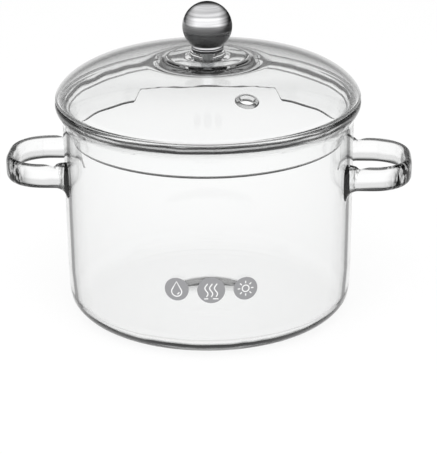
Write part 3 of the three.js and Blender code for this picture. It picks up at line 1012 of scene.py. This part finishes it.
class SAUCEPAN_OT_seals(bpy.types.Operator):
    """Mould the near-black seal above the lid glass and the milky silicone one below it"""

    bl_idname = "saucepan.seals"
    bl_label = "Seals"

    def execute(self, context):
        sizes = settings(context)
        lid, knob, level = sizes.lid, sizes.knob, knob_levels(sizes)
        silicone = silicone_rubber("milky_silicone", sizes.finishes.silicone, 0.7)
        # The seal under the collar is coloured near black, which draws the dark line between the collar and the
        # glass.
        rubber = silicone_rubber("black_rubber", sizes.finishes.rubber, 0)
        hole, edge = level["pin_hole"], knob.upper_seal * SEAL_EDGE
        upper = [
            (hole, 0, edge), (knob.upper_seal_radius, 0, edge),
            (knob.upper_seal_radius, knob.upper_seal, edge), (hole, knob.upper_seal, edge),
        ]
        knob_piece("seal_above", upper, level, rubber, "black_rubber", "upper_seal")
        sleeve = lid.bore - knob.sleeve_clearance
        lower = [
            (hole, level["washer_top"], edge), (knob.lower_seal_radius, level["washer_top"], edge),
            (knob.lower_seal_radius, level["seal_top"], edge), (sleeve, level["seal_top"]),
            (sleeve, -knob.sleeve_top, edge), (hole, -knob.sleeve_top, edge),
        ]
        knob_piece("seal_below", lower, level, silicone, "silicone", "lower_seal")
        return {"FINISHED"}


class SAUCEPAN_OT_screw(bpy.types.Operator):
    """Turn the screw and its washer, and cut the cross recess"""

    bl_idname = "saucepan.screw"
    bl_label = "Screw and washer"

    def execute(self, context):
        sizes = settings(context)
        knob, level = sizes.knob, knob_levels(sizes)
        steel = bright_steel("bright_steel_screw", sizes.finishes.bright_steel)
        hole, seat, edge = level["pin_hole"], level["screw_seat"], knob.washer * WASHER_EDGE
        washer = [
            (hole, seat, edge), (knob.washer_radius, seat, edge),
            (knob.washer_radius, level["washer_top"], edge), (hole, level["washer_top"], edge),
        ]
        knob_piece("round_washer", washer, level, steel, "screw_steel", "screw_washer")

        foot, tip = seat - knob.head_height, level["insert_top"] - knob.tip_gap
        outline = [
            (0, foot), (knob.head_radius, foot, knob.head_edge), (knob.head_radius, seat, edge),
            (knob.screw, seat), (knob.screw, tip, knob.screw * TIP_EDGE), (0, tip),
        ]
        screw = new_piece("cross_screw", turned(outline, KNOB_FACETS), steel)
        for wide, deep in ((knob.recess_length, knob.recess_width), (knob.recess_width, knob.recess_length)):
            slot = bmesh.new()
            bmesh.ops.create_cube(slot, matrix=Matrix.Translation((0, 0, foot)) @ Matrix.Diagonal(
                (wide, deep, 2 * knob.recess_depth, 1)))
            combine(screw, new_piece("slot", slot), "DIFFERENCE")
        screw.data.transform(Matrix.Translation((0, 0, level["pedestal"])))
        shade(screw)
        finish_piece(screw, "lid", "screw_steel", "knob_screw")
        return {"FINISHED"}


# Marks printed on the front: a drop, rising steam and a sun, each in a grey disc
DISC_RINGS = 3  # Rings of faces that let the disc bend round the pot
DISC_RING_SHARE = 0.24
DRAWING_SHARE = 0.68
LINE_LIFT = 1.6


def ribbon(bm, path, width, closed=False):
    """Draws a line of even width along the path, by extruding a short edge from point to point."""
    row = path + path[:1] if closed else path

    def across(i):
        before = row[i - 1] if i else (row[-2] if closed else row[0])
        after = row[i + 1] if i + 1 < len(row) else (row[1] if closed else row[-1])
        along = (Vector(after) - Vector(before)).normalized()
        return Vector((-along.y, along.x)) * width / 2

    ends = []
    for side in (1, -1):
        x, y = Vector(row[0]) + across(0) * side
        ends.append(bm.verts.new((x, y, 0)))
    edge = bm.edges.new(ends)
    for i in range(1, len(row)):
        made = bmesh.ops.extrude_edge_only(bm, edges=[edge])["geom"]
        edge = next(g for g in made if isinstance(g, bmesh.types.BMEdge) and not g.is_wire
                    and not any(v in ends for v in g.verts))
        fresh = []
        for old, side in zip(ends, (1, -1)):
            vert = next(v for v in edge.verts if any(e.other_vert(v) is old for e in v.link_edges))
            x, y = Vector(row[i]) + across(i) * side
            vert.co = (x, y, 0)
            fresh.append(vert)
        ends = fresh


def drop_path(size):
    points = [(size * 0.62 * math.cos(a), size * (0.62 * math.sin(a) - 0.3))
              for a in (math.radians(-218 + 256 * i / 20) for i in range(21))]
    return points + [(0, size)]


def steam_path(size, x):
    return [(x + size * 0.16 * math.sin(TURN * i / 14 * 1.15), size * (1.5 * i / 14 - 0.75)) for i in range(15)]


def draw_drop(bm, size, line):
    ribbon(bm, drop_path(size), line, closed=True)
    ribbon(bm, [(size * 0.32 * math.cos(a), size * (0.32 * math.sin(a) - 0.3))
                for a in (math.radians(-80 + 70 * i / 8) for i in range(9))], line)


def draw_steam(bm, size, line):
    for x in (-0.5, 0, 0.5):
        ribbon(bm, steam_path(size, x * size), line)
    ribbon(bm, [(-0.75 * size, -0.98 * size), (0.75 * size, -0.98 * size)], line)


def draw_sun(bm, size, line):
    ribbon(bm, [(size * 0.42 * math.cos(TURN * i / 32), size * 0.42 * math.sin(TURN * i / 32))
                for i in range(32)], line, closed=True)
    for i in range(8):
        c, s = math.cos(TURN * i / 8), math.sin(TURN * i / 8)
        ribbon(bm, [(size * 0.66 * c, size * 0.66 * s), (size * 0.98 * c, size * 0.98 * s)], line)


def wrap(bm, pot, azimuth, x, height, lift):
    """Lays a flat drawing on the pot's wall, with its middle x along the wall."""
    radius = pot.radius + lift
    for v in bm.verts:
        a = azimuth + (x + v.co.x) / pot.radius
        v.co = (radius * math.cos(a), radius * math.sin(a), height + v.co.y)


class SAUCEPAN_OT_print(bpy.types.Operator):
    """Print the three grey marks on the front of the pot"""

    bl_idname = "saucepan.print"
    bl_label = "Printed marks"

    def execute(self, context):
        sizes = settings(context)
        marks, pot = sizes.marks, sizes.pot
        ink = printed_ink("grey_ink", sizes.finishes.ink)
        pale = printed_ink("pale_ink", sizes.finishes.ink_line)
        drawings = (
            ("drop", draw_drop, -1, marks.outer_radius),
            ("steam", draw_steam, 0, marks.middle_radius),
            ("sun", draw_sun, 1, marks.outer_radius),
        )
        for name, draw, place, radius in drawings:
            disc = bmesh.new()
            bmesh.ops.create_circle(disc, cap_ends=True, cap_tris=False, segments=64, radius=radius)
            for _ in range(DISC_RINGS):
                bmesh.ops.inset_region(disc, faces=disc.faces[-1:], thickness=radius * DISC_RING_SHARE)
            wrap(disc, pot, marks.azimuth, place * marks.spacing, marks.height, marks.lift)
            self.printed(name + "_disc", disc, ink, marks.lift)
            lines = bmesh.new()
            draw(lines, radius * DRAWING_SHARE, marks.line)
            wrap(lines, pot, marks.azimuth, place * marks.spacing, marks.height, LINE_LIFT * marks.lift)
            self.printed(name + "_lines", lines, pale, marks.lift)
        return {"FINISHED"}

    def printed(self, name, bm, material, lift):
        tidy(bm)
        piece = new_piece(name, bm, material)
        thick = piece.modifiers.new("Ink", "SOLIDIFY")
        thick.thickness, thick.offset = lift / 2, 0
        keep_modifiers(piece)
        shade(piece, 60)
        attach(piece, "pot")


# Studio. What a ray sees depends on its history: straight from the camera, mirrored once or more
# by steel or glass, gone through glass, or both.
PLAIN_LIGHT = 0.85
LIGHT_DEEP_IN_GLASS = 0.8
FLOOR_SHADOW = 0.1


def by_history(wiring, seen_through, off_glass, off_steel, inside):
    path = wiring.nodes.new("ShaderNodeLightPath").outputs

    def at_least(count, times):
        return wiring.math("GREATER_THAN", path[count], times - 0.5)

    def choose(factor, low, high):
        return wiring.mix(factor, low, high, "FLOAT")

    # Each further mirroring inside the glass dims what is seen
    through = at_least("Transmission Depth", 1)
    deep = at_least("Transmission Depth", 4)
    fading = wiring.span(path["Glossy Depth"], 1, 5, 1, 0.3)
    off_both = wiring.math("MULTIPLY", fading, choose(deep, inside, LIGHT_DEEP_IN_GLASS))
    off = choose(through, choose(path["Is Singular Ray"], off_steel, off_glass), off_both)
    straight = choose(through, PLAIN_LIGHT, seen_through)
    clear = choose(at_least("Glossy Depth", 1), straight, off)
    other = choose(at_least("Diffuse Depth", 1), clear, PLAIN_LIGHT)
    return choose(path["Is Camera Ray"], other, 1.0)


def pale_floor():
    """Floor that is white mostly by its own glow and keeps a soft shadow.

    Steel mirrors it greyer than it is, and darkest behind the pot on the right.
    """
    floor = Finish("pale_floor")
    at_back = floor.span(floor.place("X"), -0.35, 0.15, 0.6, 0.05)
    off_steel = floor.mix(floor.span(floor.place("Y"), -0.4, 0.1, 0, 1), 0.6, at_back, "FLOAT")
    glow = floor.node("Emission", {"Strength": by_history(floor, 1.0, 1.0, off_steel, 1.0)}, "Emission")
    surface = floor.node("MixShader", {"Fac": FLOOR_SHADOW, 1: glow, 2: floor.shader.outputs["BSDF"]}, "Shader")
    floor.feed(floor.nodes["Material Output"].inputs["Surface"], surface)
    return floor.done({"Base Color": (0.8, 0.8, 0.8, 1), "Roughness": 0.9, "Specular IOR Level": 0})


# Brightness from the bottom of a mirroring ball, at -1, to its top, at 1
BALL_BANDS = (
    (-1, 0.7), (-0.2, 0.7), (-0.1, 1.2), (0, 1.8), (0.26, 1.8), (0.3, 1.35), (0.76, 1.2), (0.88, 0.2), (1, 0.02),
)


def light_on_steel(sky, direction, stage):
    """What a steel ball mirrors, laid out as it lies on the ball when that is seen from the front."""
    turn, tilt = stage.azimuth, stage.elevation
    across = (math.cos(turn), math.sin(turn), 0)
    upward = (-math.sin(turn) * math.sin(tilt), math.cos(turn) * math.sin(tilt), math.cos(tilt))
    back = (math.sin(turn) * math.cos(tilt), -math.cos(turn) * math.cos(tilt), math.sin(tilt))

    def along(axis):
        return sky.vector_math("DOT_PRODUCT", direction, axis, output="Value")

    # A ball mirrors a direction at the place that lies half way between it and the eye
    scale = sky.math("SQRT", sky.math("MULTIPLY_ADD", along(back), 2, 2.001))
    sideways = sky.math("DIVIDE", along(across), scale)
    bands = sky.shades(sky.math("DIVIDE", along(upward), scale), BALL_BANDS)
    left = sky.span(sideways, -0.9, -0.45, 0.12, 1)
    right = sky.span(sideways, 0.45, 0.82, 1, 0.03)
    rim = sky.span(along(back), -0.8, -0.4, 0.02, 1)
    return sky.math("MULTIPLY", sky.math("MULTIPLY", left, right), sky.math("MULTIPLY", rim, bands))


def studio_world(context, stage):
    """White at the level of the eye and dark overhead, with a soft light band in front for the steel."""
    world = bpy.data.worlds.new("studio")
    sky = Wiring(world)
    direction = sky.node("TexCoord", output="Generated")
    height = sky.node("SeparateXYZ", {"Vector": direction}, "Z")
    light = by_history(
        sky,
        seen_through=sky.span(height, 0.06, 0.16, 1.0, 0.08),
        off_glass=sky.span(height, 0, 0.12, 0.95, 0.4),
        off_steel=light_on_steel(sky, direction, stage),
        inside=sky.span(height, 0.38, 0.52, 0.95, 0.05),
    )
    background = sky.nodes["Background"].inputs
    sky.feed(background["Strength"], light)
    sky.feed(background["Color"], (1, 1, 1, 1))
    context.scene.world = world


class SAUCEPAN_OT_stage(bpy.types.Operator):
    """Set up the camera, the floor and the soft studio light"""

    bl_idname = "saucepan.stage"
    bl_label = "Studio"

    def execute(self, context):
        stage, scene = settings(context).stage, context.scene
        scene.view_settings.view_transform = "Standard"
        # Light crosses many layers of glass
        scene.cycles.max_bounces = scene.cycles.transmission_bounces = 32
        scene.cycles.glossy_bounces = 16

        camera = bpy.data.objects.new("camera", bpy.data.cameras.new("camera"))
        scene.collection.objects.link(camera)
        away = (
            Matrix.Rotation(stage.azimuth, 4, "Z")
            @ Matrix.Rotation(math.pi / 2 - stage.elevation, 4, "X")
        )
        camera.matrix_world = (
            Matrix.Translation((0, 0, stage.aim)) @ away
            @ Matrix.Translation((0, 0, stage.distance)) @ Matrix.Rotation(-stage.roll, 4, "Z")
        )
        camera.data.lens = stage.lens
        camera.data.shift_x, camera.data.shift_y = stage.shift_x, stage.shift_y
        camera.data.clip_start = 0.05
        scene.camera = camera

        floor = bmesh.new()
        bmesh.ops.create_grid(floor, x_segments=1, y_segments=1, size=stage.floor)
        bmesh.ops.translate(floor, verts=floor.verts, vec=(0, 0, -stage.floor_gap))
        new_piece("floor", floor, pale_floor())

        lamp = bpy.data.lights.new("window", "AREA")
        lamp.size, lamp.energy = stage.window, stage.window_power
        window = bpy.data.objects.new("window", lamp)
        window.matrix_world = (
            Matrix.Rotation(stage.window_tilt, 4, "X") @ Matrix.Translation((0, 0, stage.window_height))
        )
        window.visible_glossy = window.visible_transmission = False
        scene.collection.objects.link(window)
        studio_world(context, stage)
        return {"FINISHED"}


class SaucepanSettings(bpy.types.PropertyGroup):
    """All sizes and colours of the saucepan"""

    pot: PointerProperty(type=PotSizes)
    handle: PointerProperty(type=HandleSizes)
    lid: PointerProperty(type=LidSizes)
    knob: PointerProperty(type=KnobSizes)
    marks: PointerProperty(type=PrintSizes)
    finishes: PointerProperty(type=Finishes)
    stage: PointerProperty(type=StageSettings)


OPERATORS = (
    SAUCEPAN_OT_stage, SAUCEPAN_OT_pot, SAUCEPAN_OT_lid, SAUCEPAN_OT_ball, SAUCEPAN_OT_insert,
    SAUCEPAN_OT_seals, SAUCEPAN_OT_screw, SAUCEPAN_OT_print,
)


class SAUCEPAN_PT_panel(bpy.types.Panel):
    """Lists the pieces of the saucepan"""

    bl_label = "Saucepan"
    bl_idname = "SAUCEPAN_PT_panel"
    bl_space_type = "VIEW_3D"
    bl_region_type = "UI"
    bl_category = "Saucepan"

    def draw(self, context):
        for operator in OPERATORS:
            self.layout.operator(operator.bl_idname)


CLASSES = (
    PotSizes, HandleSizes, LidSizes, KnobSizes, PrintSizes, Finishes, StageSettings, SaucepanSettings,
    *OPERATORS, SAUCEPAN_PT_panel,
)


def register():
    for cls in CLASSES:
        bpy.utils.register_class(cls)
    bpy.types.Scene.saucepan = PointerProperty(type=SaucepanSettings)


def unregister():
    del bpy.types.Scene.saucepan
    for cls in reversed(CLASSES):
        bpy.utils.unregister_class(cls)


def main():
    register()
    bpy.ops.saucepan.stage()
    bpy.ops.saucepan.pot()
    bpy.ops.saucepan.lid()
    bpy.ops.saucepan.ball()
    bpy.ops.saucepan.insert()
    bpy.ops.saucepan.seals()
    bpy.ops.saucepan.screw()
    bpy.ops.saucepan.print()


if __name__ == "__main__":
    main()
